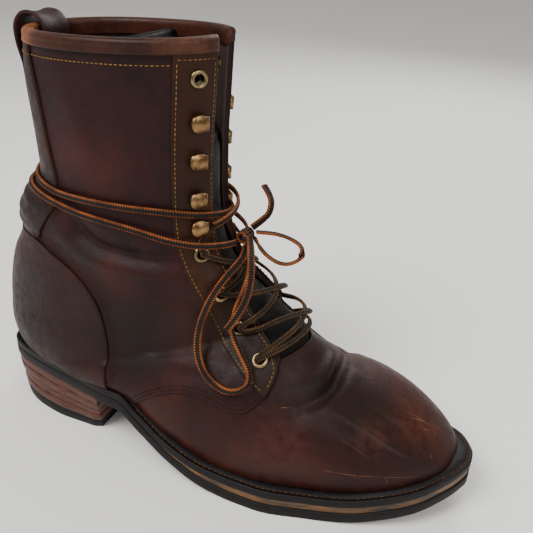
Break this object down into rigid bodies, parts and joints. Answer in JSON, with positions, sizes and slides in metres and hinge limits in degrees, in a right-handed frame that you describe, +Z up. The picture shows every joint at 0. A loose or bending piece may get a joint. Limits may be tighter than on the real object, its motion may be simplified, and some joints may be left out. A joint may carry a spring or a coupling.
{
  "type": "lace-up work boot",
  "caption": "Tall lace-up leather work boot for the right foot, with a stacked heel, a stitched welt and laces wrapped once round the ankle.",
  "frame": {"origin": "on the floor, at the middle of the heel's flat", "axes": "+X towards the toe, +Y towards the inner side of the foot, +Z up"},
  "size_m": [0.3152, 0.1136, 0.2549],
  "materials": {
    "upper_leather": "oiled, worn",
    "back_leather": "oiled, worn",
    "eyestay_leather": "oiled",
    "binding_leather": "oiled, rubbed edge",
    "tongue_leather": "matt",
    "insole_leather": "natural",
    "midsole_leather": "natural edge",
    "welt_leather": "dyed edge",
    "heel_leather": "waxed stacked edge",
    "sole_rubber": "matt",
    "brass": "aged",
    "lace": "woven, flat"
  },
  "bodies": {
    "root": {"outsole": "sole_rubber", "midsole": "midsole_leather", "welt": "welt_leather", "heel_top_lift": "sole_rubber", "heel_lift_4": "heel_leather", "heel_lift_3": "heel_leather", "heel_lift_2": "heel_leather", "heel_lift_1": "heel_leather", "upper": "upper_leather", "insole": "insole_leather", "tongue": "tongue_leather", "heel_counter": "back_leather", "backstay": "back_leather", "collar_binding": "binding_leather", "eyestay_outer": "eyestay_leather", "eyestay_inner": "eyestay_leather", "eyelet_outer_1": "brass", "eyelet_outer_2": "brass", "eyelet_outer_3": "brass", "eyelet_outer_4": "brass", "eyelet_outer_5": "brass", "hook_outer_1": "brass", "hook_outer_2": "brass", "hook_outer_3": "brass", "hook_outer_4": "brass", "eyelet_inner_1": "brass", "eyelet_inner_2": "brass", "eyelet_inner_3": "brass", "eyelet_inner_4": "brass", "eyelet_inner_5": "brass", "hook_inner_1": "brass", "hook_inner_2": "brass", "hook_inner_3": "brass", "hook_inner_4": "brass", "lace_crossings": "lace", "lace_wrap_upper": "lace", "lace_wrap_lower": "lace", "lace_knot": "lace", "lace_loop_outer": "lace", "lace_loop_inner": "lace", "lace_end_outer": "lace", "lace_end_inner": "lace", "pull_loop": "back_leather"}
  },
  "joints": []
}
